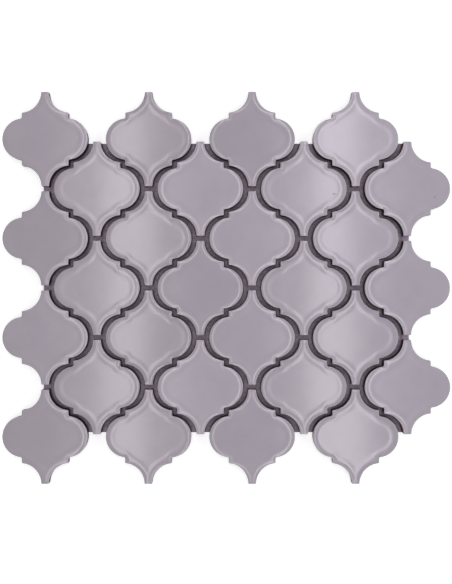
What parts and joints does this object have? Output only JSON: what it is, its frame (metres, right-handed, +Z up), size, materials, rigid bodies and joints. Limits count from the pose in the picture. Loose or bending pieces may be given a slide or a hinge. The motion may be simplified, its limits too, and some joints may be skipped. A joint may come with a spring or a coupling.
{
  "type": "arabesque mosaic tile sheet",
  "caption": "Flat sheet of grey glazed lantern-shaped ceramic mosaic tiles with rolled edges and open joints, bonded to a thin mesh backing for setting on a wall or floor.",
  "frame": {"origin": "middle of the backing's underside, below the middle of the sheet", "axes": "+X across the columns of tiles, towards the short last column; +Y along the tiles from tip to tip; +Z up, out of the glazed faces"},
  "size_m": [0.28, 0.245, 0.006],
  "materials": {
    "glaze": "glossy grey glaze with a faint lilac cast",
    "backing": "grey woven mesh in an adhesive film"
  },
  "bodies": {
    "root": {"tile_c1_r1": "glaze", "tile_c1_r2": "glaze", "tile_c1_r3": "glaze", "tile_c1_r4": "glaze", "tile_c2_r1": "glaze", "tile_c2_r2": "glaze", "tile_c2_r3": "glaze", "tile_c3_r1": "glaze", "tile_c3_r2": "glaze", "tile_c3_r3": "glaze", "tile_c3_r4": "glaze", "tile_c4_r1": "glaze", "tile_c4_r2": "glaze", "tile_c4_r3": "glaze", "tile_c5_r1": "glaze", "tile_c5_r2": "glaze", "tile_c5_r3": "glaze", "tile_c5_r4": "glaze", "tile_c6_r1": "glaze", "tile_c6_r2": "glaze", "tile_c6_r3": "glaze", "tile_c7_r1": "glaze", "tile_c7_r2": "glaze", "tile_c7_r3": "glaze", "tile_c7_r4": "glaze", "tile_c8_r1": "glaze", "tile_c8_r2": "glaze", "tile_c8_r3": "glaze", "mesh_backing": "backing"}
  },
  "joints": []
}
